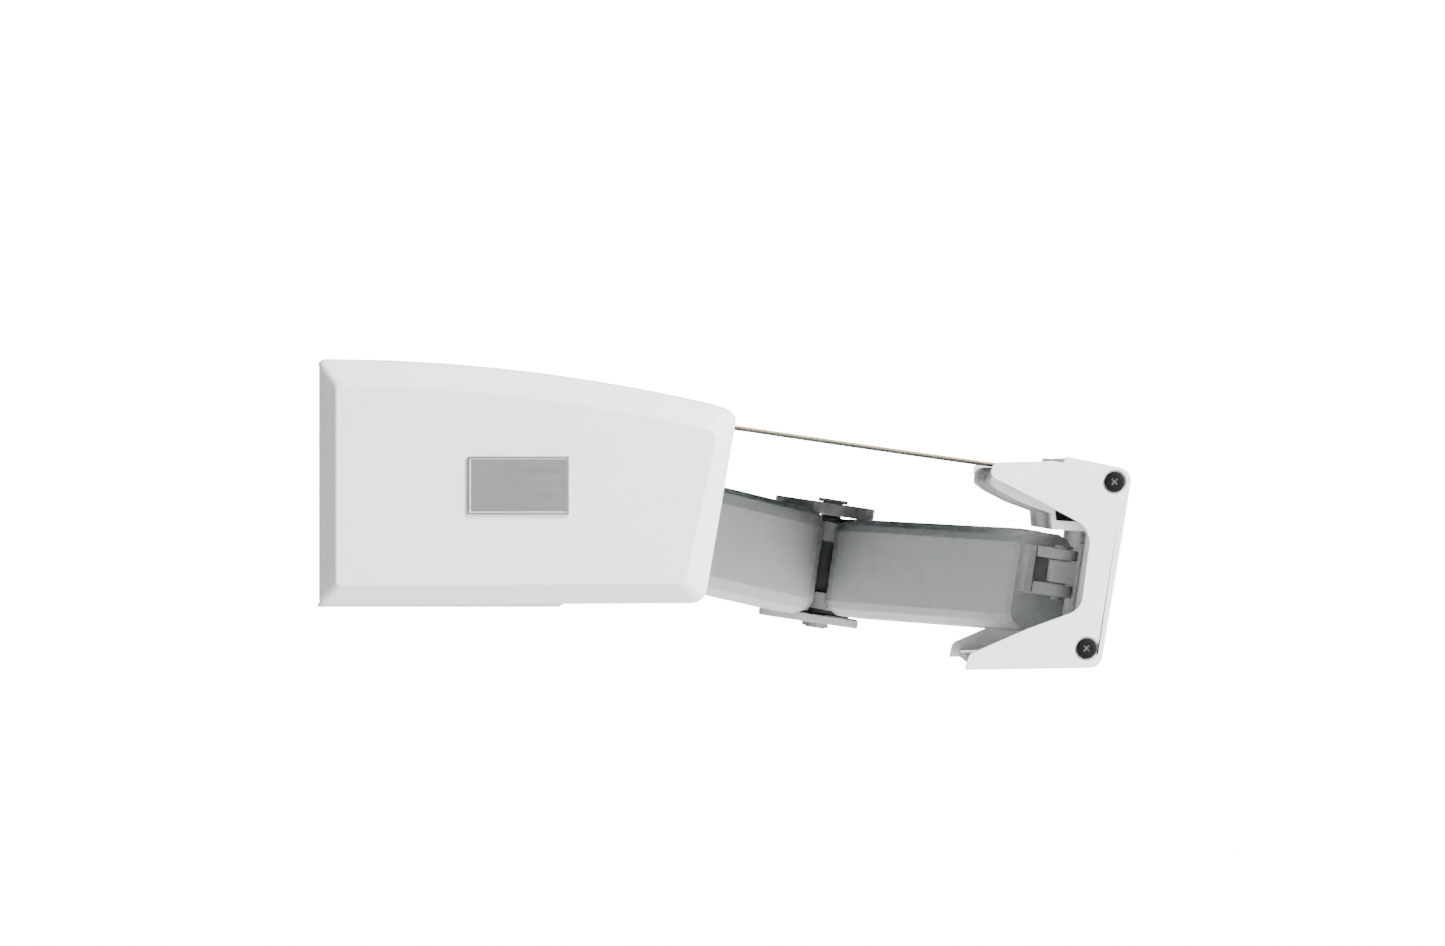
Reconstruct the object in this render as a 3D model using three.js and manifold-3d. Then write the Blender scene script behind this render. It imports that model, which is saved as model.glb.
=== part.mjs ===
// Full-cassette folding-arm awning, 1.7 m wide, for a wall above a window or a terrace door.
// Millimetres, +Z up. The wall is the plane X = 0, the awning opens towards +X, and Y runs along its width.
// The origin is the middle of the centre wall bracket's back face.
import * as THREE from 'three';
import { mergeVertices } from 'three/addons/utils/BufferGeometryUtils.js';
import Module from 'manifold-3d';

const wasm = await Module();
wasm.setup();

// ---------------------------------------------------------------- driving dimensions
const WIDTH = 1700; // over the cassette's end caps
const GAP = 0.3; // between pieces that touch

// cassette, as seen from its end
const CASSETTE_DEPTH = 253; // wall to the front of the hood
const CASSETTE_TOP = 74.4; // top of the hood above the origin
const CASSETTE_BOTTOM = -74.4;
const MOUTH_GAP = 2.815; // from the cloth up to the hood's lip
const HOOD_FLAT = 6; // where the top starts to curve down
const FRONT_LEAN = 19; // the front edge falls back this far towards the bottom
const NOSE_DROP = 5; // the hood's lip turns down this far
const NOSE_RADIUS = 8;
const HEEL_RADIUS = 9;
const BACK_RADIUS = 3.6;
const WALL_GAP = 0.8; // shells stay this clear of the wall
const SHELL = 2.6; // wall of the extruded profiles
const FLOOR_DEPTH = 146; // the floor ends here and the arm bay is open below
const BACK_WALL = 14; // the back wall stands clear of the building for the brackets

// end cap
const CAP_DEPTH = 24;
const CAP_RIM = 10; // straight part of the cap's side
const CAP_WALL = 3;
const CAP_SET = 0.8; // the cap's skin is this far inside the profiles' skin
const CAP_BEVEL = { back: 11, top: 15.5, front: 12, bottom: 12 };
const BADGE = { x: 121.5, z: -1.5, width: 61, height: 35, thick: 1.4 };

// mechanism: all hinge axes are square to one plane that slopes down by PITCH
const PITCH = THREE.MathUtils.degToRad(8.5);
const SHOULDER = { x: 171.5, z: -11.5, inset: 130 };
const ARM = 640; // hinge to hinge, the same for both arms
const REST = THREE.MathUtils.degToRad(12.6); // arm's angle to the width at rest
const REACH = ARM * Math.sin(REST); // how far each arm reaches forward at rest
const PIN_R = 6;
const BORE_R = PIN_R + GAP;

// arm profiles and their place on the hinge line
const BEAM_THICK = 32;
const BEAM_WALL = 2.5;
const REAR_BEAM = { height: 66, bevel: 7, crown: 3.4 };
const FRONT_BEAM = { height: 60, bevel: 4.4, crown: 3.6 };
const BEVEL_IN = 2.4;
const CROWN_IN = 6.5;
const HINGE_SIDE = 8; // beam's middle is this far to the inner side at the shoulder or wrist
const ELBOW_SIDE = -15; // and this far to the outer side at the elbow
const HINGE_LEVEL = -8.5; // beam's middle against the hinge plane's zero level
const ELBOW_LEVEL = -19;
const ELBOW_BLOCK = 24; // castings end this far before the elbow axis
const BLOCK = 17.5; // length of a casting outside its beam
const SPIGOT = 18; // and inside it

// elbow
const PLATE_R = 26;
const BARREL_R = 20;
const PLATE = { top: 7.5, bottom: 5.1, seat: 2 }; // thickness, and how deep they sit in the rear block
const FORK_GAP = { top: 1, bottom: 0.4 }; // plates to the front beam
const elbowTop = Math.max(REAR_BEAM.height / 2 - PLATE.seat, FRONT_BEAM.height / 2 + FORK_GAP.top);
const elbowBottom = Math.max(REAR_BEAM.height / 2 - PLATE.seat, FRONT_BEAM.height / 2 + FORK_GAP.bottom);
const PLATE_TOP = [ELBOW_LEVEL + elbowTop, ELBOW_LEVEL + elbowTop + PLATE.top];
const PLATE_BOTTOM = [ELBOW_LEVEL - elbowBottom - PLATE.bottom, ELBOW_LEVEL - elbowBottom];
const BARREL = [PLATE_BOTTOM[1] + 0.6, PLATE_TOP[0] - 1.2];
const GROOVE = [-35.5, -4.5]; // room for the tension chain
const CHAIN_R = [18, 20.4];
const CHAIN_WRAP = Math.PI;

// shoulder and wrist
const SHOULDER_R = 16;
const SHOULDER_BARREL = [-30, 13];
const SHOULDER_CHEEK = 8;
const SHOULDER_BLOCK = 22;
const WRIST_R = 9;
const WRIST_LUGS = [[6.5, 13], [-16, -8.5]];
const WRIST_TONGUE = [-7.9, 5.9];
const WRIST_WEB = { u: 6, v: [14.5, 20] }; // joins the lugs on the side away from the bar
const TONGUE_R = 7.5;
const WRIST_BLOCK = 14;
const WRIST_PIN_R = 4;

// fabric, roller and guide
const FABRIC_LEVEL = 58.5; // above the hinge plane's zero level
const FABRIC_THICK = 1.4;
const FABRIC_INSET = 45; // narrower than the cassette on each side
const TUBE_R = 35;
const TUBE_WALL = 1.4;
const ROLL_R = 38.5; // with the stored fabric
const ROLLER_X = -104; // in front of the shoulder axis, along the slope
const SIDE_PLATE = 6;
const AXLE_R = 8;

// front bar, as seen from its end, around the wrist axis
const BAR_INNER = 12; // wrist axis to the bar's inner wall
const BAR_FACE = 31.5; // wrist axis to the bar's front
const BAR_CAP = 9;
const CAP_LIP = 1.3; // the bar's cap stands this far past the profile
const CLAW_X = -51;
const SCREWS = [[23.3, 57.5], [21.4, -43.8]];
const SCREW_R = 2.4;
const HEAD_R = 6.2;
const HEM_ROD = { x: -12, z: 60.2, r: 2 };
const HEM_GROOVE = { x: -15.5, floor: 57.2 };

// ---------------------------------------------------------------- materials
const finish = (colour, roughness, metalness = 0) =>
  new THREE.MeshStandardMaterial({ color: colour, roughness, metalness });
const PAINT = finish('#e9e9e9', 0.45);
const CAP_PLASTIC = finish('#e4e4e4', 0.5);
const ARM_PAINT = finish('#a9abab', 0.45, 0.3);
const CASTING = finish('#9b9d9d', 0.55, 0.3);
const STEEL = finish('#8f9294', 0.35, 0.9);
const DARK_STEEL = finish('#4a4e50', 0.5, 0.7);
const BLACK_SCREW = finish('#202122', 0.4, 0.4);
const BADGE_METAL = finish('#a8a8a8', 0.35, 0.7);
const CLOTH = finish('#b29a5e', 0.9);
const RUBBER = finish('#333536', 0.8);
const GALVANISED = finish('#b5b8ba', 0.4, 0.8);

// ---------------------------------------------------------------- solids
const TRI = 3;

function toSolid(geometry) {
  const bare = geometry.clone();
  for (const name of Object.keys(bare.attributes)) {
    if (name !== 'position') bare.deleteAttribute(name);
  }
  const merged = mergeVertices(bare, 1e-4);
  return new wasm.Manifold(new wasm.Mesh({
    numProp: 3,
    vertProperties: new Float32Array(merged.attributes.position.array),
    triVerts: new Uint32Array(merged.index.array),
  }));
}

function toGeometry(solid) {
  const mesh = solid.getMesh();
  const geometry = new THREE.BufferGeometry();
  geometry.setAttribute('position', new THREE.BufferAttribute(new Float32Array(mesh.vertProperties), TRI));
  geometry.setIndex(new THREE.BufferAttribute(new Uint32Array(mesh.triVerts), 1));
  return geometry;
}

const join = (...pieces) => toGeometry(pieces.map(toSolid).reduce((all, one) => all.add(one)));
const cut = (body, ...tools) => toGeometry(tools.map(toSolid).reduce((all, one) => all.subtract(one), toSolid(body)));

const shapeOf = (points) => new THREE.Shape(points.map(([x, y]) => new THREE.Vector2(x, y)));
const plain = (points, length) =>
  new THREE.ExtrudeGeometry(shapeOf(points), { depth: length, bevelEnabled: false });

function extrude(points, length, holes = []) {
  const tools = holes.map((hole) => plain(hole, length + 2).translate(0, 0, -1));
  return tools.length ? cut(plain(points, length), ...tools) : plain(points, length);
}

// a plan in X and Y, standing from z0 to z1
const standing = (points, [z0, z1], holes) => extrude(points, z1 - z0, holes).translate(0, 0, z0);
// a section in X and Z, running from y0 to y1
const across = (points, [y0, y1], holes) =>
  extrude(points, y1 - y0, holes).rotateX(Math.PI / 2).translate(0, y1, 0);
// a section in Y and Z, running from x0 to x1
const TURN_FORWARD = new THREE.Matrix4().set(0, 0, 1, 0, 1, 0, 0, 0, 0, 1, 0, 0, 0, 0, 0, 1);
const forward = (points, [x0, x1], holes) =>
  extrude(points, x1 - x0, holes).applyMatrix4(TURN_FORWARD).translate(x0, 0, 0);

const rectangle = ([x0, x1], [y0, y1]) => [[x0, y0], [x1, y0], [x1, y1], [x0, y1]];

function circle(x, y, radius, sides = 24) {
  return Array.from({ length: sides }, (_, i) => {
    const angle = (i / sides) * 2 * Math.PI;
    return [x + radius * Math.cos(angle), y + radius * Math.sin(angle)];
  });
}

// rounds each corner [x, y, radius] of an outline with an arc of a few steps
function rounded(corners, steps = 4) {
  const out = [];
  corners.forEach(([x, y, radius = 0], i) => {
    if (!radius) {
      out.push([x, y]);
      return;
    }
    const here = new THREE.Vector2(x, y);
    const before = corners[(i + corners.length - 1) % corners.length];
    const after = corners[(i + 1) % corners.length];
    const back = new THREE.Vector2(before[0], before[1]).sub(here).normalize();
    const on = new THREE.Vector2(after[0], after[1]).sub(here).normalize();
    const half = Math.acos(THREE.MathUtils.clamp(back.dot(on), -1, 1)) / 2;
    const centre = here.clone().add(back.clone().add(on).normalize().multiplyScalar(radius / Math.sin(half)));
    const first = here.clone().addScaledVector(back, radius / Math.tan(half)).sub(centre);
    const last = here.clone().addScaledVector(on, radius / Math.tan(half)).sub(centre);
    const sweep = Math.atan2(first.cross(last), first.dot(last));
    for (let s = 0; s <= steps; s += 1) {
      const p = first.clone().rotateAround(new THREE.Vector2(), (sweep * s) / steps).add(centre);
      out.push([p.x, p.y]);
    }
  });
  return out;
}

// convex hull of plan points, for webs and cheeks that wrap an eye and a block
function hull(points) {
  const sorted = [...points].sort((a, b) => a[0] - b[0] || a[1] - b[1]);
  const turn = (o, a, b) => (a[0] - o[0]) * (b[1] - o[1]) - (a[1] - o[1]) * (b[0] - o[0]);
  const chain = (list) => {
    const out = [];
    for (const p of list) {
      while (out.length > 1 && turn(out[out.length - 2], out[out.length - 1], p) <= 1e-9) out.pop();
      out.push(p);
    }
    return out.slice(0, -1);
  };
  return [...chain(sorted), ...chain(sorted.reverse())];
}

// a strip of even thickness on one side of a path
function ribbon(path, thickness) {
  const inner = path.map(([x, y], i) => {
    const before = path[Math.max(i - 1, 0)];
    const after = path[Math.min(i + 1, path.length - 1)];
    const along = new THREE.Vector2(after[0] - before[0], after[1] - before[1]).normalize();
    return [x + along.y * thickness, y - along.x * thickness];
  });
  return [...path, ...inner.reverse()];
}

// a closed skin over rings of equal point counts, each ring at its own Y
function loft(rings) {
  const plans = rings.map(({ points }) => {
    const plan = points.map(([x, z]) => new THREE.Vector2(x, z));
    return THREE.ShapeUtils.isClockWise(plan) ? plan.reverse() : plan;
  });
  const count = plans[0].length;
  const position = plans.flatMap((plan, r) => plan.flatMap((p) => [p.x, rings[r].y, p.y]));
  const index = [];
  for (let r = 0; r + 1 < rings.length; r += 1) {
    for (let i = 0; i < count; i += 1) {
      const a = r * count + i;
      const b = r * count + ((i + 1) % count);
      index.push(a, b, b + count, a, b + count, a + count);
    }
  }
  const last = (rings.length - 1) * count;
  for (const [a, b, c] of THREE.ShapeUtils.triangulateShape(plans[0], [])) index.push(a, c, b);
  for (const [a, b, c] of THREE.ShapeUtils.triangulateShape(plans.at(-1), [])) index.push(last + a, last + b, last + c);
  const geometry = new THREE.BufferGeometry();
  geometry.setAttribute('position', new THREE.Float32BufferAttribute(position, TRI));
  const runsBack = rings.at(-1).y > rings[0].y;
  return geometry.setIndex(runsBack ? index.reverse() : index);
}

const rod = (x, y, radius, span, sides = 24) => standing(circle(x, y, radius, sides), span);
const rodAcross = (x, z, radius, span, sides = 24) => across(circle(x, z, radius, sides), span);
const pipeAcross = (x, z, [r0, r1], span, sides = 32) =>
  across(circle(x, z, r1, sides), span, [circle(x, z, r0, sides)]);

// ---------------------------------------------------------------- the tree
const awning = new THREE.Group();
const slope = new THREE.Group(); // hinge plane: X down the slope, Z along the hinge axes
slope.position.set(SHOULDER.x, 0, SHOULDER.z);
slope.rotation.y = PITCH;
awning.add(slope);
slope.updateMatrix();

function piece(name, geometry, material, parent = awning) {
  const mesh = new THREE.Mesh(geometry, material);
  mesh.name = name;
  parent.add(mesh);
  return mesh;
}

const SIDES = [{ name: 'left', sign: -1 }, { name: 'right', sign: 1 }];
const span = (sign, near, far) => (sign > 0 ? [near, far] : [-far, -near]); // Y span on one side
const HALF = WIDTH / 2;
const INSIDE = HALF - CAP_DEPTH - GAP; // where the profiles end
const SHOULDER_Y = HALF - SHOULDER.inset;
const WRIST_X = 2 * REACH;

// ---------------------------------------------------------------- cassette
const NOSE_X = CASSETTE_DEPTH - 1;
const clothTop = (x) => SHOULDER.z
  + (FABRIC_LEVEL + FABRIC_THICK / 2 - (x - SHOULDER.x) * Math.sin(PITCH)) / Math.cos(PITCH);
const HOOD_FALL = CASSETTE_TOP - NOSE_DROP - MOUTH_GAP - clothTop(NOSE_X);
const HOOD_RADIUS = (NOSE_X - HOOD_FLAT) ** 2 / (2 * HOOD_FALL);
const hoodHeight = (x) => CASSETTE_TOP - Math.max(x - HOOD_FLAT, 0) ** 2 / (2 * HOOD_RADIUS);
const HOOD_STEPS = 8;

const hoodCurve = (start, end, drop = 0) => Array.from({ length: HOOD_STEPS }, (_, i) => {
  const x = start + ((end - start) * i) / (HOOD_STEPS - 1);
  return [x, hoodHeight(x) - drop];
});

// end view of the cassette; each side can be drawn in by its own amount
function cassetteOutline({ back = 0, top = 0, front = 0, bottom = 0 }) {
  const heel = WALL_GAP + back;
  const nose = CASSETTE_DEPTH - front;
  const foot = CASSETTE_DEPTH - FRONT_LEAN - front;
  return rounded([
    [heel, CASSETTE_BOTTOM + bottom, BACK_RADIUS],
    [heel, CASSETTE_TOP - top, BACK_RADIUS],
    ...hoodCurve(heel + 2 * BACK_RADIUS, nose - 2 * NOSE_RADIUS, top),
    [nose + 0.7, hoodHeight(nose) - top, NOSE_RADIUS],
    [foot, CASSETTE_BOTTOM + bottom + 1.5, HEEL_RADIUS],
  ]);
}

const shrink = (by) => ({ back: by, top: by, front: by, bottom: by });
const addInset = (a, by) => ({ back: a.back + by, top: a.top + by, front: a.front + by, bottom: a.bottom + by });

for (const { name, sign } of SIDES) {
  const at = (depth) => sign * (HALF - depth);
  const shell = loft([
    { points: cassetteOutline(shrink(CAP_SET)), y: at(CAP_DEPTH) },
    { points: cassetteOutline(shrink(CAP_SET)), y: at(CAP_DEPTH - CAP_RIM) },
    { points: cassetteOutline(CAP_BEVEL), y: at(0) },
  ]);
  const hollow = loft([
    { points: cassetteOutline(shrink(CAP_WALL)), y: at(CAP_DEPTH + 1) },
    { points: cassetteOutline(shrink(CAP_WALL)), y: at(CAP_DEPTH - CAP_RIM + 1) },
    { points: cassetteOutline(addInset(CAP_BEVEL, CAP_WALL)), y: at(CAP_WALL) },
  ]);
  piece(`end_cap_${name}`, cut(shell, hollow), CAP_PLASTIC);

  const badge = rounded([
    [BADGE.x - BADGE.width / 2, BADGE.z - BADGE.height / 2, 2],
    [BADGE.x + BADGE.width / 2, BADGE.z - BADGE.height / 2, 2],
    [BADGE.x + BADGE.width / 2, BADGE.z + BADGE.height / 2, 2],
    [BADGE.x - BADGE.width / 2, BADGE.z + BADGE.height / 2, 2],
  ], 2);
  piece(`badge_${name}`, across(badge, span(sign, HALF + GAP, HALF + GAP + BADGE.thick)), BADGE_METAL);

  const plateInset = SHELL + GAP + 0.6;
  const plate = cassetteOutline({ back: BACK_WALL + plateInset, top: plateInset, front: 6, bottom: plateInset });
  piece(`side_plate_${name}`, across(plate, span(sign, INSIDE - SIDE_PLATE, INSIDE)), GALVANISED);
}

const floorTop = CASSETTE_BOTTOM + SHELL;
const RAIL = { top: 65, lip: 54, front: 6.4 };
const backSection = [
  [WALL_GAP, CASSETTE_BOTTOM], [FLOOR_DEPTH, CASSETTE_BOTTOM], [FLOOR_DEPTH, floorTop],
  [BACK_WALL + SHELL, floorTop], [BACK_WALL + SHELL, RAIL.top], [RAIL.front, RAIL.top],
  [RAIL.front, RAIL.lip], [RAIL.front + 2.2, RAIL.lip], [RAIL.front + 2.2, RAIL.top - SHELL],
  [BACK_WALL, RAIL.top - SHELL], [BACK_WALL, floorTop], [WALL_GAP, floorTop],
];
piece('back_profile', across(backSection, [-INSIDE, INSIDE]), PAINT);

const hoodPath = [
  [WALL_GAP, CASSETTE_TOP - BACK_RADIUS], [WALL_GAP + 1, CASSETTE_TOP - 1], [WALL_GAP + BACK_RADIUS, CASSETTE_TOP],
  ...hoodCurve(HOOD_FLAT + BACK_RADIUS, NOSE_X - 2 * NOSE_RADIUS),
  [NOSE_X - NOSE_RADIUS, hoodHeight(NOSE_X) + 1.3],
  [NOSE_X - 3, hoodHeight(NOSE_X) - 1.2],
  [NOSE_X - 0.4, hoodHeight(NOSE_X) - 4.5],
  [NOSE_X, hoodHeight(NOSE_X) - NOSE_DROP],
];
piece('hood', across(ribbon(hoodPath, SHELL), [-INSIDE, INSIDE]), PAINT);

// wall brackets hook under the back profile's rail
const BRACKET = { thick: 6, half: 58, length: 70, hookBottom: 47, holeLevel: 30, holeR: 5.5 };
const bracketSection = [
  [0, -BRACKET.half], [BACK_WALL - GAP, -BRACKET.half], [BACK_WALL - GAP, -BRACKET.half + 5],
  [BRACKET.thick, -BRACKET.half + 5], [BRACKET.thick, BRACKET.hookBottom],
  [RAIL.front + 5, BRACKET.hookBottom], [RAIL.front + 5, BRACKET.hookBottom + 12],
  [RAIL.front + 2.2 + GAP, BRACKET.hookBottom + 12], [RAIL.front + 2.2 + GAP, BRACKET.hookBottom + 5],
  [BRACKET.thick, BRACKET.hookBottom + 5], [BRACKET.thick, BRACKET.half], [0, BRACKET.half],
];
const BRACKET_PLACES = { left: -HALF + 220, centre: 0, right: HALF - 220 };
for (const [name, y] of Object.entries(BRACKET_PLACES)) {
  const body = across(bracketSection, [-BRACKET.length / 2, BRACKET.length / 2]);
  const holes = [-1, 1].map((s) => forward(circle(0, s * BRACKET.holeLevel, BRACKET.holeR, 16), [-1, 20]));
  piece(`wall_bracket_${name}`, cut(body, ...holes), GALVANISED).position.y = y;
}

const GLAND = { y: HALF - 90, z: -55, r: 8 };
const glandProfile = [[0, 0], [GLAND.r, 0], [GLAND.r, 3], [GLAND.r - 1.5, 4], [GLAND.r - 2.5, 8], [0, 8]];
const gland = new THREE.LatheGeometry(glandProfile.map(([r, h]) => new THREE.Vector2(r, h)), 12);
const glandMesh = piece('cable_gland', gland, RUBBER);
glandMesh.rotation.z = Math.PI / 2;
glandMesh.position.set(BACK_WALL - GAP, GLAND.y, GLAND.z);

// fabric guide: the bar under the slot that the fabric leaves by
const GUIDE = { x: [46, 69], z: [31, FABRIC_LEVEL - FABRIC_THICK / 2 - 2] };
const guideOuter = rounded([
  [GUIDE.x[0], GUIDE.z[0], 3], [GUIDE.x[1], GUIDE.z[0], 3], [GUIDE.x[1] + 3, GUIDE.z[1], 8], [GUIDE.x[0], GUIDE.z[1], 3],
], 3);
const guideHole = rectangle([GUIDE.x[0] + SHELL, GUIDE.x[1] - SHELL], [GUIDE.z[0] + SHELL, GUIDE.z[1] - SHELL - 2]);
const PLATE_INNER = INSIDE - SIDE_PLATE - GAP;
piece('fabric_guide', across(guideOuter, [-PLATE_INNER, PLATE_INNER], [guideHole]), PAINT, slope);

// ---------------------------------------------------------------- roller and motor
const ROLLER_Z = FABRIC_LEVEL - FABRIC_THICK / 2 - GAP - ROLL_R;
const TUBE_END = PLATE_INNER - 14;
const MOTOR = { r: 27, tail: 300, crown: 26 };
piece('roller_tube', pipeAcross(ROLLER_X, ROLLER_Z, [TUBE_R - TUBE_WALL, TUBE_R], [-TUBE_END, TUBE_END]), STEEL, slope);
piece('fabric_roll', pipeAcross(ROLLER_X, ROLLER_Z, [TUBE_R + GAP, ROLL_R],
  [-HALF + FABRIC_INSET, HALF - FABRIC_INSET]), CLOTH, slope);
const plug = rodAcross(ROLLER_X, ROLLER_Z, TUBE_R - TUBE_WALL - GAP, [-TUBE_END - 2, -TUBE_END + 24]);
const stub = rodAcross(ROLLER_X, ROLLER_Z, AXLE_R, [-PLATE_INNER + 1, -TUBE_END], 16);
piece('idler_plug', join(plug, stub), CASTING, slope);
piece('roller_bearing', pipeAcross(ROLLER_X, ROLLER_Z, [AXLE_R + GAP, AXLE_R * 2],
  [-PLATE_INNER, -PLATE_INNER + 10], 16), CASTING, slope);
const motorHead = rodAcross(ROLLER_X, ROLLER_Z, TUBE_R - 4, [TUBE_END + 3, PLATE_INNER]);
const motorBody = rodAcross(ROLLER_X, ROLLER_Z, MOTOR.r, [MOTOR.tail, TUBE_END + 4]);
piece('tubular_motor', join(motorHead, motorBody), DARK_STEEL, slope);
piece('drive_crown', rodAcross(ROLLER_X, ROLLER_Z, TUBE_R - TUBE_WALL - GAP,
  [MOTOR.tail - GAP - MOTOR.crown, MOTOR.tail - GAP], 12), RUBBER, slope);

// ---------------------------------------------------------------- arms
function beamSection({ height, bevel, crown }, inset = 0) {
  const v = BEAM_THICK / 2 - inset;
  const n = height / 2 - inset;
  const quarter = [[v, n - crown - bevel], [v - BEVEL_IN, n - crown], [v - BEVEL_IN - CROWN_IN, n]];
  const flipped = quarter.map(([a, b]) => [-a, b]).reverse();
  return [...quarter, ...flipped, ...quarter.map(([a, b]) => [-a, -b]), ...flipped.map(([a, b]) => [-a, -b])];
}

// an arm's own frame: X from its hinge to the elbow, and hand says on which side the other arm folds
function beamMatrix(hand) {
  const start = new THREE.Vector3(0, hand * HINGE_SIDE, HINGE_LEVEL);
  const end = new THREE.Vector3(ARM, hand * ELBOW_SIDE, ELBOW_LEVEL);
  const along = end.clone().sub(start).normalize();
  const turn = new THREE.Quaternion().setFromUnitVectors(new THREE.Vector3(1, 0, 0), along);
  return new THREE.Matrix4().compose(start, turn, new THREE.Vector3(1, 1, 1));
}

const beamBlock = (beam, hand, reach, inset = 0) =>
  forward(beamSection(beam, inset), reach).applyMatrix4(beamMatrix(hand));
const ELBOW_END = ARM - ELBOW_BLOCK;
const BEAM_END = ELBOW_END - BLOCK;
const PLUG_INSET = BEAM_WALL + GAP;
const edge = (u, hand, inner, outer) => [[u, hand * inner], [u, hand * outer]];
const ELBOW_EDGES = [ELBOW_SIDE + BEAM_THICK / 2, ELBOW_SIDE - BEAM_THICK / 2];
const HINGE_EDGES = [HINGE_SIDE + BEAM_THICK / 2, HINGE_SIDE - BEAM_THICK / 2];

function beamProfile(name, beam, hand, start, frame) {
  const inner = rectangle(
    [-BEAM_THICK / 2 + BEAM_WALL, BEAM_THICK / 2 - BEAM_WALL],
    [-beam.height / 2 + beam.crown + beam.bevel, beam.height / 2 - beam.crown - beam.bevel],
  );
  const body = forward(beamSection(beam), [start, BEAM_END], [inner]);
  piece(name, body.applyMatrix4(beamMatrix(hand)), ARM_PAINT, frame);
}

// the plug inside a beam, clear of its walls
function spigot(beam, hand, reach) {
  const half = beam.height / 2 - beam.crown - beam.bevel - GAP;
  const plugSection = rectangle([-BEAM_THICK / 2 + PLUG_INSET, BEAM_THICK / 2 - PLUG_INSET], [-half, half]);
  return forward(plugSection, reach).applyMatrix4(beamMatrix(hand));
}

function rearElbowFork(hand) {
  const corners = [
    ...edge(ELBOW_END, hand, ...ELBOW_EDGES), ...edge(BEAM_END + 2, hand, ELBOW_EDGES[0] - 4, ELBOW_EDGES[1] + 4),
  ];
  const plan = hull([...circle(ARM, 0, PLATE_R, 32), ...corners]);
  const block = beamBlock(REAR_BEAM, hand, [BEAM_END + GAP, ELBOW_END]);
  const inside = spigot(REAR_BEAM, hand, [BEAM_END - SPIGOT, BEAM_END + 1]);
  const riser = standing(rectangle([BEAM_END + 2, ELBOW_END - 1],
    [hand * (ELBOW_EDGES[0] - 4), hand * (ELBOW_EDGES[1] + 4)].sort((a, b) => a - b)),
  [PLATE_BOTTOM[0] + 0.5, PLATE_TOP[1] - 0.5]);
  const slot = standing(rectangle([BEAM_END - SPIGOT - 2, ELBOW_END + 4],
    [hand * -CHAIN_R[0] - 2.6, hand * -CHAIN_R[0] + 2.6].map((v) => v - hand * 1.2)), GROOVE);
  const bore = rod(ARM, 0, BORE_R, [PLATE_BOTTOM[0] - 1, PLATE_TOP[1] + 1]);
  return cut(join(block, inside, riser, standing(plan, PLATE_TOP), standing(plan, PLATE_BOTTOM)), slot, bore);
}

function frontElbowKnuckle(hand) {
  const corners = edge(ELBOW_END, hand, ELBOW_EDGES[0] - 1, ELBOW_EDGES[1] + 1);
  const plan = hull([...circle(ARM, 0, BARREL_R, 32), ...corners]);
  const block = beamBlock(FRONT_BEAM, hand, [BEAM_END + GAP, ELBOW_END + 1]);
  const inside = spigot(FRONT_BEAM, hand, [BEAM_END - SPIGOT, BEAM_END + 1]);
  const level = [BARREL[0] + 3, BARREL[1] - 3];
  const neck = standing(plan, level);
  const barrel = rod(ARM, 0, BARREL_R, BARREL, 32);
  const groove = standing(circle(ARM, 0, BARREL_R + 7, 32), GROOVE, [circle(ARM, 0, CHAIN_R[0] - GAP, 32)]);
  return cut(join(block, inside, neck, barrel), groove, rod(ARM, 0, BORE_R, [BARREL[0] - 1, BARREL[1] + 1]));
}

function elbowPin() {
  const shaft = rod(ARM, 0, PIN_R, [PLATE_BOTTOM[0] - 3, PLATE_TOP[1] + 2.5]);
  const head = rod(ARM, 0, PIN_R + 3, [PLATE_TOP[1] + GAP, PLATE_TOP[1] + 2.5]);
  const clip = rod(ARM, 0, PIN_R + 2, [PLATE_BOTTOM[0] - 2.4, PLATE_BOTTOM[0] - GAP]);
  return join(shaft, head, clip);
}

function tensionChain(hand) {
  const steps = 14;
  const arc = (radius) => Array.from({ length: steps + 1 }, (_, i) => {
    const angle = -Math.PI / 2 + (CHAIN_WRAP * i) / steps;
    return [ARM + radius * Math.cos(angle), hand * radius * Math.sin(angle)];
  });
  const tail = BEAM_END - SPIGOT - 12;
  const outline = [[tail, -hand * CHAIN_R[1]], ...arc(CHAIN_R[1]), ...arc(CHAIN_R[0]).reverse(), [tail, -hand * CHAIN_R[0]]];
  return standing(outline, [GROOVE[0] + 1.5, GROOVE[1] - 1.5]);
}

// extension spring inside the rear arm that pulls on the chain
class Helix extends THREE.Curve {
  constructor(length, radius, coils) {
    super();
    this.length = length;
    this.radius = radius;
    this.coils = coils;
  }

  getPoint(t, target = new THREE.Vector3()) {
    const angle = t * this.coils * 2 * Math.PI;
    return target.set(t * this.length, this.radius * Math.cos(angle), this.radius * Math.sin(angle));
  }
}

const SPRING = { start: BEAM_END - SPIGOT - 250.5, length: 210, radius: 9, coils: 9, wire: 1.8, steps: 90 };
function armSpring(hand) {
  const path = new Helix(SPRING.length, SPRING.radius, SPRING.coils);
  const section = shapeOf(circle(0, 0, SPRING.wire, 5));
  const coil = new THREE.ExtrudeGeometry(section, { steps: SPRING.steps, extrudePath: path, bevelEnabled: false });
  return coil.translate(SPRING.start, 0, 0).applyMatrix4(beamMatrix(hand));
}

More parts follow.
